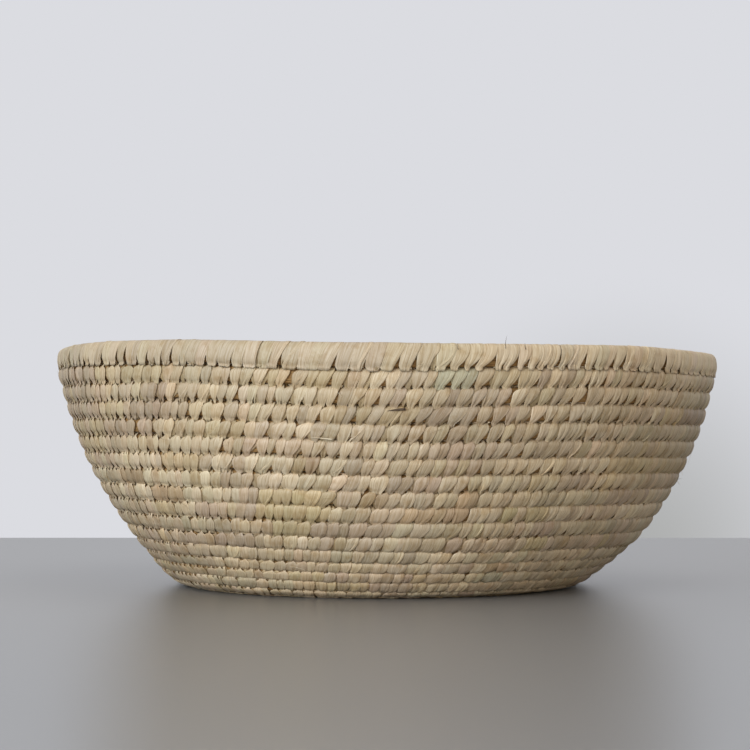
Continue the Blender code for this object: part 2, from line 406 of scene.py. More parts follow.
def stitch_tints(turns, generator):
    """Colour of each stitch, in runs that come from the same bunch of leaf, with light and shade painted in
    by the side of the bowl on the rim and the high wall.
    """
    count = len(turns)
    colours = np.array([linear(*colour) for colour, share in LEAF_TINTS])
    shares = np.array([share for colour, share in LEAF_TINTS])
    picks = generator.choice(len(colours), count, p=shares / shares.sum())
    lengths = generator.integers(*RUN_LENGTHS, count)
    runs = np.repeat(np.arange(count), lengths)[:count]
    base = colours[picks[runs]]
    odd = generator.random(count) < ODD_SHARE
    base[odd] = colours[generator.choice(len(colours), odd.sum(), p=shares / shares.sum())]
    for colour, *stretches in ACCENTS:
        for start, end in stretches:
            base[(turns >= start) & (turns <= end)] = linear(*colour)
    run_brightness = np.repeat(generator.normal(1, RUN_SPREAD, count), lengths)[:count, None]
    brightness = generator.normal(1.0, STITCH_SPREAD, (count, 1)) * run_brightness
    brightness = 1 + (brightness - 1) * np.where(turns > RIM_START, RIM_EVENNESS, 1)[:, None]
    base += (linear(*RIM_TINT) - base) * RIM_CALM * (turns > RIM_START)[:, None]
    # Painted light and shade: the rim's and the high wall's tints are lightened or darkened by the side of
    # the bowl that they are on
    rim = side_painted_shade(turns, RIM_PAINTED_SHADE_PLACES, RIM_PAINTED_SHADES, ramp(turns, RIM_START, RIM_SWELL_TURNS))
    wall = side_painted_shade(turns, SIDE_PLACES, WALL_PAINTED_SHADES, rise(turns, HIGH_TURNS) * (turns < RIM_START))
    tints = base * brightness * rim * wall * LEAF_CAST * generator.normal(1.0, TINT_SPREAD, (count, 3))
    return tints * np.minimum(1, PALEST / tints.max(axis=1))[:, None]


# How far each strip belongs to a part of the bowl, from 0 to 1, and what the side that it is on does to it
Zone = namedtuple(
    "Zone", "on_rim low high leftward left_low is_open under_open roundness taper advance relief"
)

# Way of strips round the coil's section: offsets, outward direction, how far down the coil's face they have
# come, and how far they have sunk into the groove below it
Course = namedtuple("Course", "out along normal_out normal_along fall sink")


def grid(values):
    """One value for each strip, shaped to meet the places along it and across it."""
    return values[:, None, None]


def find_zone(turns):
    """Zone of each strip, from its turn."""
    roundness, taper, rim_taper, advance, relief = (
        grid(np.interp(turns % 1, SIDE_PLACES, values))
        for values in (SIDE_ROUNDNESS, SIDE_TAPERS, RIM_SIDE_TAPERS, SIDE_ADVANCES, SIDE_RELIEF)
    )
    on_rim = grid(ramp(turns, RIM_START - RIM_CHANGE / 2, RIM_CHANGE))
    leftward = np.maximum(roundness, 0)
    left_low = grid(1 - rise(turns, LEFT_LOW_TURNS)) * np.minimum(leftward / LEFT_FULL, 1)
    meridian = (1 - rise(turns, MERIDIAN_TURNS)) * np.sin(2 * math.pi * (turns - 0.5))
    return Zone(
        on_rim=on_rim, leftward=leftward, left_low=left_low, roundness=roundness, relief=relief,
        low=grid(1 - rise(turns, LOW_TURNS)),
        high=grid(rise(turns, HIGH_TURNS)),
        is_open=grid((turns > OPEN_TURNS[0]) & (turns < OPEN_TURNS[1])),
        under_open=grid((turns > OPEN_TURNS[0] - 1) & (turns < OPEN_TURNS[1] - 1)),
        taper=taper + (rim_taper - taper) * on_rim + LEFT_LOW_TAPER * left_low,
        advance=advance * (1 + MERIDIAN_ADVANCE * grid(meridian)),
    )


def strip_course(strip, turns, zone, jitter):
    """Way of each strip round the coil's section, then into the groove."""
    q = strip.along[None, :, None]
    half_out, half_along = (grid(size) for size in half_sizes(turns))
    reach_spread = strip.reach_spread + (RIM_REACH_SPREAD - strip.reach_spread) * zone.on_rim
    reach = np.where(q > 0, 1 + reach_spread * jitter(0, 1), 1)
    angle = math.pi / 2 - (math.pi / 2 + TIP_ANGLE * reach) * np.clip(q / TIP_FROM, -1, 1)
    out, along, normal_out, normal_along = section(grid(turns), angle, half_out, half_along)
    face_top = FACE_TOP - LEFT_FACE_DROP * zone.leftward
    fall = np.clip((face_top - along / half_along) / (face_top + FACE_BOTTOM), 0, 1)
    sink = ramp(np.abs(q), TIP_FROM, 1 - TIP_FROM)
    tip_out = TIP_OUT_SHARE + (RIM_TIP_OUT_SHARE - TIP_OUT_SHARE) * zone.on_rim
    tip_out = tip_out + (LOW_TIP_OUT_SHARE - TIP_OUT_SHARE) * zone.low
    tip_along = -half_along - TIP_DEPTH * (1 - RIM_TIP_RISE * zone.on_rim)
    out = out + (np.sign(q) * tip_out * half_out - out) * sink
    along = along + (tip_along - along) * sink
    return Course(out, along, normal_out, normal_along, fall, sink)


def strip_outline(strip, turns, zone, course, jitter):
    """How far each strip has swung along the coil, and half its width, in shares of its spacing. Its top is
    rounded, its tip narrows and swings, and its left edge stays straight."""
    outer = strip.along[None, :, None] > 0
    stretch = grid(waves(turns, SHAPE_WAVES))
    outer_taper = strip.outer_taper + (strip.rim_taper - strip.outer_taper) * zone.on_rim
    outer_taper = outer_taper + OPEN_TAPER * zone.is_open
    outer_taper = outer_taper * (1 - TAPER_SWING * stretch + zone.taper + LOW_TAPER * zone.low)
    outer_taper = np.minimum(outer_taper * jitter(1, TAPER_SPREAD), MOST_TAPER)
    taper = np.where(outer, outer_taper, strip.inner_taper)
    roundness = SHOULDER_SWING * (STRETCH_SHARE * stretch + zone.roundness)
    roundness = roundness + LOW_ROUNDNESS * zone.low + HIGH_ROUNDNESS * zone.high
    narrowing = strip.shoulder * (1 + roundness) * jitter(1, NARROWING_SPREAD)
    narrowing = np.clip(narrowing, *NARROWING_LIMITS) * (1 - zone.on_rim)
    narrowing = narrowing * (1 - UNDER_OPEN_FULLNESS * zone.under_open)
    shoulder_length = SHOULDER_LENGTH + LOW_SHOULDER * zone.low + SIDE_SHOULDER * zone.leftward
    above_shoulder = 1 - ramp(course.fall, 0, shoulder_length)
    shoulder = 1 - narrowing * (1 - np.sqrt(1 - above_shoulder ** 2))
    power = strip.taper_power + SIDE_POWER * zone.leftward + LOW_POWER * zone.low
    power = power + LEFT_LOW_POWER * zone.left_low
    power = np.where(zone.is_open, OPEN_POWER, power + (RIM_POWER - power) * zone.on_rim)
    way_down = course.fall ** power
    half = strip.half_width * jitter(1, WIDTH_SPREAD)
    half = half * (1 + RIM_WIDENING * zone.on_rim + SIDE_WIDENING * zone.leftward * (1 - zone.on_rim))
    half = half * shoulder * (1 - taper * way_down)
    half = half * (1 - TIP_NARROWING * (1 - RIM_TIP_WIDENING * zone.on_rim) * course.sink)
    advance = strip.advance * zone.advance * jitter(1, strip.advance_spread)
    advance = advance * (1 + LOW_ADVANCE * zone.low + RIM_ADVANCE * zone.on_rim)
    advance = np.where(outer, advance, -INNER_ADVANCE) * way_down
    skew = np.where(outer, TOP_SKEW * (1 - LEFT_EVENNESS * zone.leftward), 0)
    return advance - skew * strip.half_width * (1 - shoulder), half


def fold_heights(strip, count, generator):
    """Height of each strip's bends, creases and split across its width, one row for each strip."""
    knots = generator.normal(0, FOLD_KNOT_SPREAD, (count, FOLD_KNOTS))
    places = np.linspace(-1, 1, FOLD_KNOTS)
    heights = np.stack([np.interp(strip.across, places, row) for row in knots])
    columns = np.arange(CREASE_MARGIN, len(strip.across) - CREASE_MARGIN)
    for _ in range(strip.creases):
        chosen = generator.choice(columns, count)
        depths = generator.uniform(*strip.crease_depths, count) * (generator.random(count) < CREASE_SHARE)
        heights[np.arange(count), chosen] -= depths
    split = generator.random(count) < strip.split_share
    chosen = generator.choice(columns[1:-1], count)
    heights[np.arange(count)[split], chosen[split]] -= SPLIT_DEPTH
    return heights


def strip_heights(strip, zone, course, jitter, generator):
    """Heights of each strip above the section: its crown and lap, and folds that deepen to the tip."""
    count = len(zone.on_rim)
    q = strip.along[None, :, None]
    v = strip.across[None, None, :]
    relief = (1 - (1 - RIM_FLATNESS) * zone.on_rim * (1 - course.fall)) * zone.relief
    crown = strip.crown * relief * jitter(1, CROWN_SPREAD) * (1 - np.abs(v) ** CROWN_POWER)
    lap = strip.lap * relief * jitter(1, LAP_SPREAD) * (v + 1) / 2
    arch = np.sin(math.pi * np.clip(np.abs(q) / TIP_FROM, 0, 1)) ** PUFF_POWER
    puff = strip.puff * relief * jitter(PUFF_SHARE, PUFF_SPREAD) * arch
    drop = strip.edge_drop * np.minimum(zone.relief, 1) * (np.abs(v) > EDGE_FROM)
    cycles = generator.uniform(*RIPPLE_CYCLES, (count, 1, 1))
    phases = generator.uniform(*RIPPLE_PHASES, (count, 1, 1))
    ripple = RIPPLE * np.sin(cycles * q + phases + RIPPLE_SLANT * v)
    gather = (FOLD_START + FOLD_GROWTH * course.fall ** FOLD_POWER) * relief
    folds = fold_heights(strip, count, generator)[:, None, :] * gather
    return strip.bed + lap + crown + puff + ripple + folds - drop


def strip_points(strip, turns, pitches, generator):
    """Points of strips of one kind: strip, place along it, and place round its section, of which the last
    is its back."""
    def jitter(middle, spread):
        drawn = generator.normal(middle, spread, (len(turns), 1, 1))
        return drawn.clip(middle - 2 * spread, middle + 2 * spread)

    zone = find_zone(turns)
    course = strip_course(strip, turns, zone, jitter)
    advance, half = strip_outline(strip, turns, zone, course, jitter)
    heights = strip_heights(strip, zone, course, jitter, generator)
    heights = np.concatenate([heights, np.full_like(heights[:, :, :1], strip.back)], 2)
    travel = np.concatenate([advance - half * strip.across[None, None, :], advance], 2) * grid(pitches)
    out = course.out + course.normal_out * heights
    along = course.along + course.normal_along * heights
    radii = grid(np.interp(turns, PATH_TURNS, PATH_RADII))
    return place(grid(turns) + travel / (2 * math.pi * radii), out, along)


# Closed tubes as one grid of points: tube, row and ring. The pattern is laid out across, with one place for
# each corner of the ring and one to close it, and along, with one for each row
Tubes = namedtuple("Tubes", "points across along tints")

# Tiles of the map OFBake: about so many columns for each line of them, and the margin inside each
TILE_ASPECT = 3.75
TILE_MARGIN = 0.03


def grid_faces(tubes, rows, ring):
    """Loops of a grid of closed tubes: vertex, tube, row and ring corner of each, and the faces' starts."""
    tube, row, corner = np.indices((tubes, rows - 1, ring))
    cap, cap_tube, cap_corner = np.indices((2, tubes, ring))
    quad_rows = np.stack([row, row, row + 1, row + 1], -1)
    quad_corners = np.stack([corner, corner + 1, corner + 1, corner], -1)
    cap_corner = np.where(cap, cap_corner, ring - 1 - cap_corner)
    loop_tubes = np.concatenate([np.repeat(tube, 4), cap_tube], None)
    loop_rows = np.concatenate([quad_rows, cap * (rows - 1)], None)
    loop_corners = np.concatenate([quad_corners, cap_corner], None)
    vertices = (loop_tubes * rows + loop_rows) * ring + loop_corners % ring
    quad_starts = np.arange(row.size) * 4
    cap_starts = quad_rows.size + np.arange(2 * tubes) * ring
    return vertices, loop_tubes, loop_rows, loop_corners, np.concatenate([quad_starts, cap_starts])


def smooth_mesh(name, points, vertices, starts):
    """Mesh from its points, the vertex of each loop and the first loop of each face."""
    mesh = bpy.data.meshes.new(name)
    mesh.vertices.add(len(points))
    mesh.vertices.foreach_set("co", points.astype(np.float32).ravel())
    mesh.loops.add(len(vertices))
    mesh.loops.foreach_set("vertex_index", vertices.astype(np.int32))
    mesh.polygons.add(len(starts))
    mesh.polygons.foreach_set("loop_start", starts.astype(np.int32))
    mesh.update(calc_edges=True)
    mesh.shade_smooth()
    return mesh


def tube_mesh(name, *groups):
    """Mesh of groups of tubes. Each tube has a tile of the map OFBake, and the map strip has its pattern."""
    tiles = sum(len(group.points) for group in groups)
    columns = max(1, math.ceil(math.sqrt(tiles * TILE_ASPECT)))
    lines = math.ceil(tiles / columns)
    points, loops, starts, atlas, pattern, tints = [], [], [], [], [], []
    point_count = loop_count = tile_count = 0
    for group in groups:
        tubes, rows, ring = group.points.shape[:3]
        vertices, loop_tubes, loop_rows, loop_corners, first = grid_faces(tubes, rows, ring)
        tile = loop_tubes + tile_count
        tile_x = TILE_MARGIN + (1 - 2 * TILE_MARGIN) * loop_corners / ring
        tile_y = TILE_MARGIN + (1 - 2 * TILE_MARGIN) * loop_rows / (rows - 1)
        atlas.append(np.stack([(tile % columns + tile_x) / columns, (tile // columns + tile_y) / lines], -1))
        across = group.across[loop_tubes, loop_corners]
        along = group.along[loop_tubes, loop_rows]
        pattern.append(np.stack([across, along], -1))
        points.append(group.points.reshape(-1, 3))
        tints.append(np.repeat(group.tints, rows * ring, axis=0))
        loops.append(vertices + point_count)
        starts.append(first + loop_count)
        point_count += tubes * rows * ring
        loop_count += len(vertices)
        tile_count += tubes
    mesh = smooth_mesh(name, np.concatenate(points), np.concatenate(loops), np.concatenate(starts))
    for map_name, values in (("OFBake", atlas), ("strip", pattern)):
        layer = mesh.uv_layers.new(name=map_name)
        layer.data.foreach_set("uv", np.concatenate(values).astype(np.float32).ravel())
    colours = np.ones((point_count, 4), np.float32)
    colours[:, :3] = np.concatenate(tints)
    layer = mesh.color_attributes.new(name="tint", type="FLOAT_COLOR", domain="POINT")
    layer.data.foreach_set("color", colours.ravel())
    return mesh


def add_object(name, data):
    """Object in the scene, made of a mesh, a light or a camera."""
    made = bpy.data.objects.new(name, data)
    bpy.context.scene.collection.objects.link(made)
    return made


def add_piece(name, mesh, material, slot, *nodes):
    """Object on the bowl's only body, in place of CAD nodes."""
    piece = add_object(name, mesh)
    mesh.materials.append(material)
    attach(piece, "root")
    if nodes:
        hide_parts(*nodes)


def round_names():
    """Node name and first and last turn of each wrap, from the centre outwards."""
    names = [("base_wrap_01", 0, 2)]
    names += [(f"base_wrap_{lap:02d}", lap, lap + 1) for lap in range(2, BASE_ROUNDS)]
    for number in range(1, WALL_ROUNDS + 1):
        names.append((f"wall_wrap_{number:02d}", BASE_ROUNDS + number - 1, BASE_ROUNDS + number))
    return names + [("rim_wrap", RIM_START, COIL_END)]


# Measures that the leaf's fibre pattern is laid out in, in millimetres
STRIP_HALF = 3.3
STRIP_LENGTH = 26.0
PATTERN_REACH = 40.0


def strip_tubes(strip, turns, pitches, tints, generator):
    """Tubes of the strips of one kind, each with its own part of the leaf pattern."""
    points = strip_points(strip, turns, pitches, generator)
    shifts = generator.uniform(0, PATTERN_REACH, (2, len(turns), 1))
    across = np.append(strip.across, [0, -1])[None] * STRIP_HALF + shifts[0]
    along = strip.along[None] * STRIP_LENGTH / 2 + shifts[1]
    return Tubes(points, across, along, tints)


def make_stitches(material):
    """The leaf stitches, the wrapping under them and slivers over them, one piece for each round."""
    turns = stitch_turns(np.random.default_rng(SEED))
    tints = stitch_tints(turns, np.random.default_rng(SEED + 1))
    pitches = np.gradient(turns) * 2 * math.pi * np.interp(turns, PATH_TURNS, PATH_RADII)
    generator = np.random.default_rng(SEED + 2)
    under = generator.random(len(turns)) < np.where(turns < RIM_START, UNDERLAY_SHARE, RIM_UNDERLAY_SHARE)
    under &= (turns > UNDERLAY_START) & ((turns < OPEN_TURNS[0]) | (turns > OPEN_TURNS[1]))
    under[0] = False
    over = (generator.random(len(turns)) < SLIVER_SHARE) & (turns > SLIVER_START)
    between = (turns + np.roll(turns, 1)) / 2
    # The wrapping under the stitches is darkened: painted shade of the gaps that it lies in
    under_tints = (tints + np.roll(tints, 1, axis=0)) / 2 * UNDERLAY_PAINTED_SHADE
    over_tints = tints * SLIVER_SHADE
    for name, start, end in round_names():
        here = (turns >= start) & (turns < end)
        groups = [strip_tubes(STITCH, turns[here], pitches[here], tints[here], generator)]
        extras = ((UNDERLAY, here & under, under_tints), (SLIVER, here & over, over_tints))
        for kind, chosen, shades in extras:
            if chosen.any():
                groups.append(strip_tubes(kind, between[chosen], pitches[chosen], shades[chosen], generator))
        add_piece(name + "_leaf", tube_mesh(name + "_leaf", *groups), material, "palm_leaf", name)


# The stem bundle: ribs of its stems round the section, seen between the stitches
BUNDLE_RIBS = 20
BUNDLE_RING = 3 * BUNDLE_RIBS
BUNDLE_INSET = 0.75 * MM
RIM_BUNDLE_INSET = 1.9 * MM
RIB_HEIGHT, RIB_MIDDLE = 0.28 * MM, 0.6
BUNDLE_STEP = 4.0 * MM
RIB_PATTERN_STEP = 0.5

# How the ribs drift round the bundle and swell: size, change in a turn of the coil, lobes round the section
RIB_DRIFTS = ((0.9, 23, 3), (0.6, 57, 5))
RIB_SWELLS = ((0.5, 91, 7),)

# Pieces of the bundle: name, first and last turn
BUNDLE_ZONES = (
    ("stem_bundle_base", 0, 10),
    ("stem_bundle_foot", 10, 16),
    ("stem_bundle_belly", 16, 21),
    ("stem_bundle_wall", 21, 26),
    ("stem_bundle_lip", 26, COIL_END),
)


def rib_waves(turns, angle, table):
    """Sum of waves that run round the bundle and along it."""
    return sum(size * np.sin(turns * change + lobes * angle) for size, change, lobes in table)


def bundle_points(start, end):
    """Points of the stem bundle over some turns, as one ribbed tube."""
    turns = [start]
    while turns[-1] < end:
        radius = np.interp(turns[-1], PATH_TURNS, PATH_RADII)
        turns.append(turns[-1] + BUNDLE_STEP / (2 * math.pi * radius))
    turns = np.array(turns[:-1] + [end])[None, :, None]
    angle = 2 * math.pi * np.arange(BUNDLE_RING)[None, None] / BUNDLE_RING
    half_out, half_along = half_sizes(turns)
    inset = BUNDLE_INSET + RIM_BUNDLE_INSET * ramp(turns, RIM_START, RIM_SWELL_TURNS)
    half_out = half_out - np.minimum(inset, half_out / 2)
    half_along = half_along - BUNDLE_INSET
    out, along, normal_out, normal_along = section(turns, -angle, half_out, half_along)
    rib = np.abs(np.sin(angle * BUNDLE_RIBS / 2 + rib_waves(turns, angle, RIB_DRIFTS))) - RIB_MIDDLE
    height = RIB_HEIGHT * rib * (1 + rib_waves(turns, angle, RIB_SWELLS))
    return place(turns + 0 * angle, out + normal_out * height, along + normal_along * height)


def make_bundle(material):
    """The stem bundle inside the stitches, in one piece for each zone."""
    for name, start, end in BUNDLE_ZONES:
        points = bundle_points(start, end)
        rows = points.shape[1]
        across = np.arange(BUNDLE_RING + 1)[None] * RIB_PATTERN_STEP
        along = np.arange(rows)[None] * BUNDLE_STEP / MM
        mesh = tube_mesh(name, Tubes(points, across, along, np.ones((1, 3))))
        add_piece(name, mesh, material, "dry_stems", "foundation_core")


# Loose fibres on the leaf: how many and where, their sizes, the places of their points, and their corners
FIBRE_COUNT = 150
FIBRE_TURNS = (2, COIL_END - 0.5)
FIBRE_LENGTHS = (2.5 * MM, 11 * MM)
FIBRE_WIDTHS = (0.10 * MM, 0.24 * MM)
FIBRE_SHARES, FIBRE_CORNERS = np.linspace(0, 1, 9), 5
FIBRE_TINTS = ((236, 224, 196), (214, 196, 162), (150, 122, 90))
FIBRE_TINT_SHARES = (0.45, 0.35, 0.2)
FIBRE_PATTERN_STEP, FIBRE_PATTERN_LENGTH = 0.1, 8

# How they lie: off the leaf, outside or inside, about across the coil, lifted, bent and thinning to a tip
FIBRE_LIE = 0.75 * MM
OUTSIDE_SHARE, OUTSIDE_START = 0.6, BASE_ROUNDS + 1
HEADING_SPREAD, HEIGHT_SHARE = 0.7, 0.4
FIBRE_LIFT, LIFT_POWER = 1.6 * MM, 3
FIBRE_BEND, PLACED_BEND = 0.12, 0.06
FIBRE_THINNING, THINNING_POWER = 0.85, 1.5

# Small turn of a fibre's section, so that it is also defined where the fibre stands upright
UPRIGHT_NUDGE = (0.001, 0.0007, 0.0)

# Fibres placed as in the photograph, in millimetres and degrees: turn, height along the wall, length,
# heading from level, lift, half width, colour
DARK, PALE = (84, 66, 48), (238, 228, 204)
PLACED_FIBRES = (
    (30.4471, 3.4, 6.5, 96, 0.4, 0.16, DARK),
    (30.4375, 3.0, 3.2, 80, 0.2, 0.22, DARK),
    (30.4687, 3.0, 3.2, 88, 0.2, 0.22, DARK),
    (27.4915, 4.1, 8.6, -5, 0.9, 0.70, DARK),
    (26.5250, -3.0, 10.5, 6, 0.9, 0.40, PALE),
    (28.5200, 0.5, 4.0, 60, 0.8, 0.16, PALE),
    (23.2560, 0.6, 6.0, -20, 2.6, 0.14, PALE),
    (23.2500, -0.6, 5.0, 35, 2.2, 0.12, DARK),
    (24.2510, -2.2, 4.0, -50, 1.8, 0.12, PALE),
    (20.2480, 1.0, 5.0, -30, 1.8, 0.12, PALE),
    (27.7490, 1.0, 4.5, 50, 1.6, 0.12, PALE),
)


def fibre_tube(start, travel, along, out, half_width):
    """Points of a tapered fibre that starts at a turn and goes along the coil, up the wall and outwards."""
    radius = np.interp(start, PATH_TURNS, PATH_RADII)
    line = place(start + travel / (2 * math.pi * radius), out, along)
    tangent = np.gradient(line, axis=0)
    tangent /= np.linalg.norm(tangent, axis=1)[:, None]
    side = np.cross(tangent, [0.0, 0.0, 1.0]) + UPRIGHT_NUDGE
    side /= np.linalg.norm(side, axis=1)[:, None]
    normal = np.cross(side, tangent)
    angle = 2 * math.pi * np.arange(FIBRE_CORNERS) / FIBRE_CORNERS
    size = half_width * (1 - FIBRE_THINNING * FIBRE_SHARES ** THINNING_POWER)
    ring = np.cos(angle)[None, :, None] * side[:, None] + np.sin(angle)[None, :, None] * normal[:, None]
    return line[:, None] + ring * size[:, None, None]


def placed_fibre(turn, height, length, heading, lift, half_width):
    """Points of a fibre that is given in millimetres and degrees."""
    angle = math.radians(heading)
    surface = half_sizes(turn)[0] + FIBRE_LIE + half_width * MM / 2
    bend = PLACED_BEND * length * np.sin(math.pi * FIBRE_SHARES)
    travel = (length * FIBRE_SHARES * math.cos(angle) + bend) * MM
    along = (height + length * FIBRE_SHARES * math.sin(angle)) * MM
    return fibre_tube(turn, travel, along, surface + lift * FIBRE_SHARES ** 2 * MM, half_width * MM)


def stray_fibre(generator):
    """Points of a fibre that is drawn at random, outside or inside the bowl."""
    turn = generator.uniform(*FIBRE_TURNS)
    angle = generator.normal(math.pi / 2, HEADING_SPREAD) * generator.choice([-1, 1])
    length = generator.uniform(*FIBRE_LENGTHS)
    outside = generator.random() < OUTSIDE_SHARE and turn > OUTSIDE_START
    lift = generator.uniform(0, 1) ** LIFT_POWER * FIBRE_LIFT
    height = generator.uniform(-HEIGHT_SHARE, HEIGHT_SHARE) * coil_width(turn)
    bend = generator.normal(0, FIBRE_BEND) * length * np.sin(math.pi * FIBRE_SHARES)
    travel = length * FIBRE_SHARES * math.cos(angle) + bend * math.sin(angle)
    along = height + length * FIBRE_SHARES * math.sin(angle) - bend * math.cos(angle)
    out = half_sizes(turn)[0] + FIBRE_LIE + lift * FIBRE_SHARES ** 2
    if not outside:
        out = -out
    return fibre_tube(turn, travel, along, out, generator.uniform(*FIBRE_WIDTHS) / 2)


def make_fibres(material):
    """Splinters and hairs that have come loose from the leaf, outside and inside."""
    generator = np.random.default_rng(SEED + 3)
    tubes, tints = [], []
    for *shape, colour in PLACED_FIBRES:
        tubes.append(placed_fibre(*shape))
        tints.append(linear(*colour))
    for _ in range(FIBRE_COUNT):
        tubes.append(stray_fibre(generator))
        tints.append(linear(*FIBRE_TINTS[generator.choice(len(FIBRE_TINTS), p=FIBRE_TINT_SHARES)]))
    across = np.arange(FIBRE_CORNERS + 1)[None] * FIBRE_PATTERN_STEP + np.arange(len(tubes))[:, None]
    along = np.repeat(FIBRE_SHARES[None] * FIBRE_PATTERN_LENGTH, len(tubes), axis=0)
    mesh = tube_mesh("loose_fibres", Tubes(np.array(tubes), across, along, np.array(tints)))
    add_piece("loose_fibres", mesh, material, "palm_leaf")


# The leaf's pattern. Fibre noise: its changes across and along the strip in each millimetre, and its detail.
# Shades: colours that darken the leaf. Fades: a range of noise, and how much of the shade each end has
NOISE_ROUGHNESS = 0.6
FINE_FIBRES, FINE_SHADE, FINE_FADE = (4.5, 0.14, 2.0), (190, 163, 122), (0.30, 0.60, 0.4, 0.0)
BROAD_FIBRES, BROAD_SHADE, BROAD_FADE = (1.5, 0.09, 1.0), (212, 195, 167), (0.32, 0.62, 0.58, 0.0)
STAIN_SCALE, STAIN_DETAIL = 160.0, 3.0
STAIN_SHADE, STAIN_FADE = (216, 196, 162), (0.52, 0.74, 0.0, 0.6)
LEAF_ROUGHNESS, LEAF_SPECULAR = (0.3, 0.7, 0.62, 0.48), 0.6
LEAF_BUMP, LEAF_BUMP_DEPTH, FINE_BUMP = 0.34, 0.25 * MM, 0.6

# The stems' pattern, laid out in the same way, between a dark and a light colour
STEM_LINES, STEM_DARK, STEM_LIGHT = (2.4, 0.12, 2.0), (126, 94, 54), (186, 148, 94)
STEM_FADE, STEM_ROUGHNESS = (0.35, 0.65, 0.0, 1.0), 0.8
STEM_BUMP, STEM_BUMP_DEPTH = 0.6, 0.2 * MM


def new_material(name):
    """Material with its node tree and shader."""
    material = bpy.data.materials.new(name)
    material.use_nodes = True
    return material, material.node_tree, material.node_tree.nodes["Principled BSDF"]


def add_node(tree, kind, inputs=(), **settings):
    """Node with settings, and inputs that are values or other nodes' outputs."""
    made = tree.nodes.new(kind)
    for key, value in settings.items():
        setattr(made, key, value)
    for key, value in dict(inputs).items():
        if isinstance(value, bpy.types.NodeSocket):
            tree.links.new(value, made.inputs[key])
        else:
            made.inputs[key].default_value = value
    return made


def math_node(tree, operation, *values):
    """Output of a sum on values or other nodes' outputs."""
    return add_node(tree, "ShaderNodeMath", enumerate(values), operation=operation).outputs[0]


def noise_node(tree, vector, scale, detail, dimensions):
    """Output of a noise at places given by another node."""
    inputs = {"Vector": vector, "Scale": scale, "Detail": detail, "Roughness": NOISE_ROUGHNESS}
    return add_node(tree, "ShaderNodeTexNoise", inputs, noise_dimensions=dimensions).outputs["Fac"]


def fibre_noise(tree, across, along, detail):
    """Noise on the map that the strips' pattern is laid out in, drawn out along the fibres."""
    inputs = {0: add_node(tree, "ShaderNodeUVMap", uv_map="strip").outputs[0], 1: (across, along, 0)}
    places = add_node(tree, "ShaderNodeVectorMath", inputs, operation="MULTIPLY").outputs[0]
    return noise_node(tree, places, 1.0, detail, "2D")


def spread(tree, value, low, high, to_low, to_high):
    """A value's range from low to high, as another range."""
    inputs = {"Value": value, "From Min": low, "From Max": high, "To Min": to_low, "To Max": to_high}
    return add_node(tree, "ShaderNodeMapRange", inputs).outputs[0]


def opaque(colour):
    """Colour of a material for an sRGB colour, with its alpha."""
    return (*linear(*colour), 1)


def mixed(tree, share, first, second, blend="MIX"):
    """Colour between two colours."""
    inputs = {0: share, 6: first, 7: second}
    return add_node(tree, "ShaderNodeMix", inputs, data_type="RGBA", blend_type=blend).outputs[2]


def shaded(tree, colour, shade, share):
    """A colour that is darkened by a shade in some share."""
    return mixed(tree, share, colour, mixed(tree, 1.0, colour, opaque(shade), "MULTIPLY"))


def add_bump(tree, shader, height, strength, depth):
    """Relief of a surface from a height."""
    bump = add_node(tree, "ShaderNodeBump", {"Height": height, "Strength": strength, "Distance": depth})
    tree.links.new(bump.outputs[0], shader.inputs["Normal"])


def leaf_material():
    """Dried palm leaf: the stitch's own colour, with fibres along the strip and stains."""
    material, tree, shader = new_material("palm_leaf")
    fine = fibre_noise(tree, *FINE_FIBRES)
    broad = fibre_noise(tree, *BROAD_FIBRES)
    solid = add_node(tree, "ShaderNodeTexCoord").outputs["Object"]
    stain = noise_node(tree, solid, STAIN_SCALE, STAIN_DETAIL, "3D")
    colour = add_node(tree, "ShaderNodeVertexColor", layer_name="tint").outputs["Color"]
    colour = shaded(tree, colour, FINE_SHADE, spread(tree, fine, *FINE_FADE))
    colour = shaded(tree, colour, BROAD_SHADE, spread(tree, broad, *BROAD_FADE))
    colour = shaded(tree, colour, STAIN_SHADE, spread(tree, stain, *STAIN_FADE))
    tree.links.new(colour, shader.inputs["Base Color"])
    tree.links.new(spread(tree, fine, *LEAF_ROUGHNESS), shader.inputs["Roughness"])
    shader.inputs["Specular IOR Level"].default_value = LEAF_SPECULAR
    height = math_node(tree, "ADD", math_node(tree, "MULTIPLY", fine, FINE_BUMP), broad)
    add_bump(tree, shader, height, LEAF_BUMP, LEAF_BUMP_DEPTH)
    return material


def stem_material():
    """Dry stems of the bundle, browner than the leaf that covers them."""
    material, tree, shader = new_material("dry_stems")
    stems = fibre_noise(tree, *STEM_LINES)
    colour = mixed(tree, spread(tree, stems, *STEM_FADE), opaque(STEM_DARK), opaque(STEM_LIGHT))
    tree.links.new(colour, shader.inputs["Base Color"])
    shader.inputs["Roughness"].default_value = STEM_ROUGHNESS
    add_bump(tree, shader, stems, STEM_BUMP, STEM_BUMP_DEPTH)
    return material


# The stage: a floor with a rounded edge behind the bowl, in the photograph's light
FLOOR_BACK = 0.425
STAGE_REACH = 4.5
EDGE_RADIUS = 0.02
EDGE_DEPTH = 0.12
EDGE_STEPS = 6
FLOOR_COLOUR = (142, 144, 147)
FLOOR_ROUGHNESS = 0.28


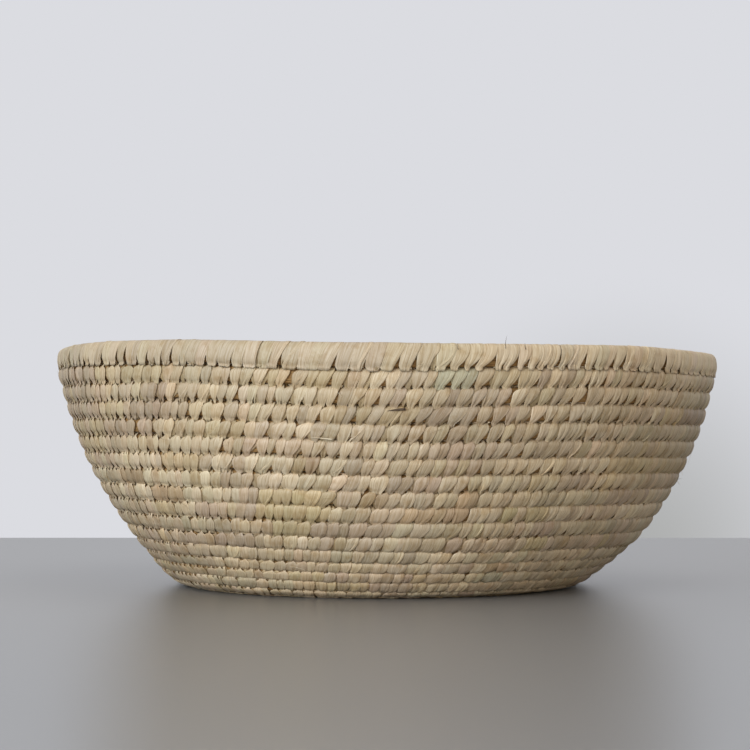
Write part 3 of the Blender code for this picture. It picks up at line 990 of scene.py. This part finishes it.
def make_stage():
    """Floor in one sheet, whose back edge is rounded and turned down."""
    profile = [(-STAGE_REACH, 0.0), (FLOOR_BACK, 0.0)]
    for step in range(1, EDGE_STEPS + 1):
        angle = math.pi / 2 * step / EDGE_STEPS
        profile.append((FLOOR_BACK + EDGE_RADIUS * math.sin(angle), EDGE_RADIUS * (math.cos(angle) - 1)))
    profile.append((FLOOR_BACK + EDGE_RADIUS, -EDGE_DEPTH))
    vertices = [(side * STAGE_REACH, y, z) for y, z in profile for side in (-1, 1)]
    faces = [(2 * i, 2 * i + 1, 2 * i + 3, 2 * i + 2) for i in range(len(profile) - 1)]
    mesh = bpy.data.meshes.new("stage")
    mesh.from_pydata(vertices, [], faces)
    mesh.shade_smooth()
    mesh.materials.append(stage_material())
    stage = add_object("stage", mesh)


def stage_material():
    """Matt grey floor with a faint sheen."""
    material, _, shader = new_material("stage")
    shader.inputs["Base Color"].default_value = opaque(FLOOR_COLOUR)
    shader.inputs["Roughness"].default_value = FLOOR_ROUGHNESS
    return material


# The room: its even light, and the pale wall that is seen in its place, which darkens with painted shade to
# one low corner
BACKDROP_COLOUR = (219, 220, 225)
BACKDROP_SHADE_COLOUR = (172, 173, 172)
BACKDROP_SHADE_CORNER = (0.0793, 0.9947, -0.0652)
BACKDROP_FADE = 0.10
ROOM_TINT = (1.0, 0.958, 0.895)
ROOM_STRENGTH = 0.33


def make_room():
    """World that lights evenly, and that is seen directly or in a gloss as a pale backdrop with painted
    shade towards one low corner.
    """
    world = bpy.data.worlds.new("room")
    world.use_nodes = True
    tree = world.node_tree
    room = tree.nodes["Background"]
    room.inputs["Color"].default_value = (*ROOM_TINT, 1)
    room.inputs["Strength"].default_value = ROOM_STRENGTH
    toward = add_node(tree, "ShaderNodeTexCoord").outputs["Generated"]
    corner = add_node(tree, "ShaderNodeVectorMath", {0: toward, 1: BACKDROP_SHADE_CORNER}, operation="DISTANCE")
    share = add_node(
        tree, "ShaderNodeMapRange", {"Value": corner.outputs["Value"], "From Max": BACKDROP_FADE},
        interpolation_type="SMOOTHSTEP",
    ).outputs[0]
    # Painted shade on the backdrop, darkest at one low corner
    colour = mixed(tree, share, opaque(BACKDROP_SHADE_COLOUR), opaque(BACKDROP_COLOUR))
    backdrop = add_node(tree, "ShaderNodeBackground", {"Color": colour, "Strength": 1.0}).outputs[0]
    rays = add_node(tree, "ShaderNodeLightPath").outputs
    seen = math_node(tree, "MAXIMUM", rays["Is Camera Ray"], rays["Is Glossy Ray"])
    mix = add_node(tree, "ShaderNodeMixShader", {0: seen, 1: room.outputs[0], 2: backdrop})
    tree.links.new(mix.outputs[0], tree.nodes["World Output"].inputs["Surface"])
    bpy.context.scene.world = world


# Lights: name, place, side of the square, power and tint. All of them aim at the middle of the bowl
LIGHT_TARGET = (0, 0, 0.06)
WINDOW_TINT = (0.86, 0.93, 1.0)
FILL_TINT = (1.0, 0.88, 0.76)
LIGHTS = (
    ("window", (-1.5, -1.86, 0.6), 1.3, 39, WINDOW_TINT),
    ("fill", (0.0, -2.7, 0.32), 1.2, 19, FILL_TINT),
    ("ceiling", (0.6, -0.4, 2.0), 1.6, 9, ROOM_TINT),
    ("back", (-0.6, 1.4, 2.0), 1.6, 4, ROOM_TINT),
)


def make_lights():
    """Soft light from the left and front, a low fill from the front, a ceiling and a faint light behind."""
    for name, position, size, power, tint in LIGHTS:
        light = bpy.data.lights.new(name, "AREA")
        light.shape = "SQUARE"
        light.size = size
        light.energy = power
        light.color = tint
        lamp = add_object(name, light)
        lamp.location = position
        lamp.rotation_euler = (Vector(LIGHT_TARGET) - Vector(position)).to_track_quat("-Z", "Y").to_euler()


# The photograph's camera in metres and pixels: how far it stood, its height, and where its frame holds the
# bowl's axis and the horizon
CAMERA_DISTANCE = 1.575
EYE_HEIGHT = 0.116
FRAME_PIXELS = 750
LENS_PIXELS = 2929
AXIS_PIXEL = 386.5
HORIZON_PIXEL = 368.0
SENSOR_WIDTH = 36
CLIP_END = 20


def make_camera():
    """Camera level with the rim, turned so that the bowl sits in the frame as photographed."""
    camera = bpy.data.cameras.new("camera")
    camera.sensor_width = SENSOR_WIDTH
    camera.lens = camera.sensor_width * LENS_PIXELS / FRAME_PIXELS
    camera.clip_end = CLIP_END
    holder = add_object("camera", camera)
    holder.location = (0, -CAMERA_DISTANCE, EYE_HEIGHT)
    left = math.atan((AXIS_PIXEL - FRAME_PIXELS / 2) / LENS_PIXELS)
    down = math.atan((FRAME_PIXELS / 2 - HORIZON_PIXEL) / LENS_PIXELS)
    holder.rotation_euler = (math.pi / 2 - down, 0, left)
    bpy.context.scene.camera = holder


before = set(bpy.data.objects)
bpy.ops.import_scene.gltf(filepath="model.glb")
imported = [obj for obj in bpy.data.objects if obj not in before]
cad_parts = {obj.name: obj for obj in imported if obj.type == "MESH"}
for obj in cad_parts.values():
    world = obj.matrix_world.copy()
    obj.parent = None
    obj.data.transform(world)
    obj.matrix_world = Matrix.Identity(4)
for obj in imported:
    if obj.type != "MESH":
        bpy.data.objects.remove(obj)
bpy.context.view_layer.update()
bpy.context.scene.view_settings.view_transform = "Standard"
make_camera()
make_stage()
make_lights()
make_room()
leaf = leaf_material()
make_stitches(leaf)
make_fibres(leaf)
make_bundle(stem_material())
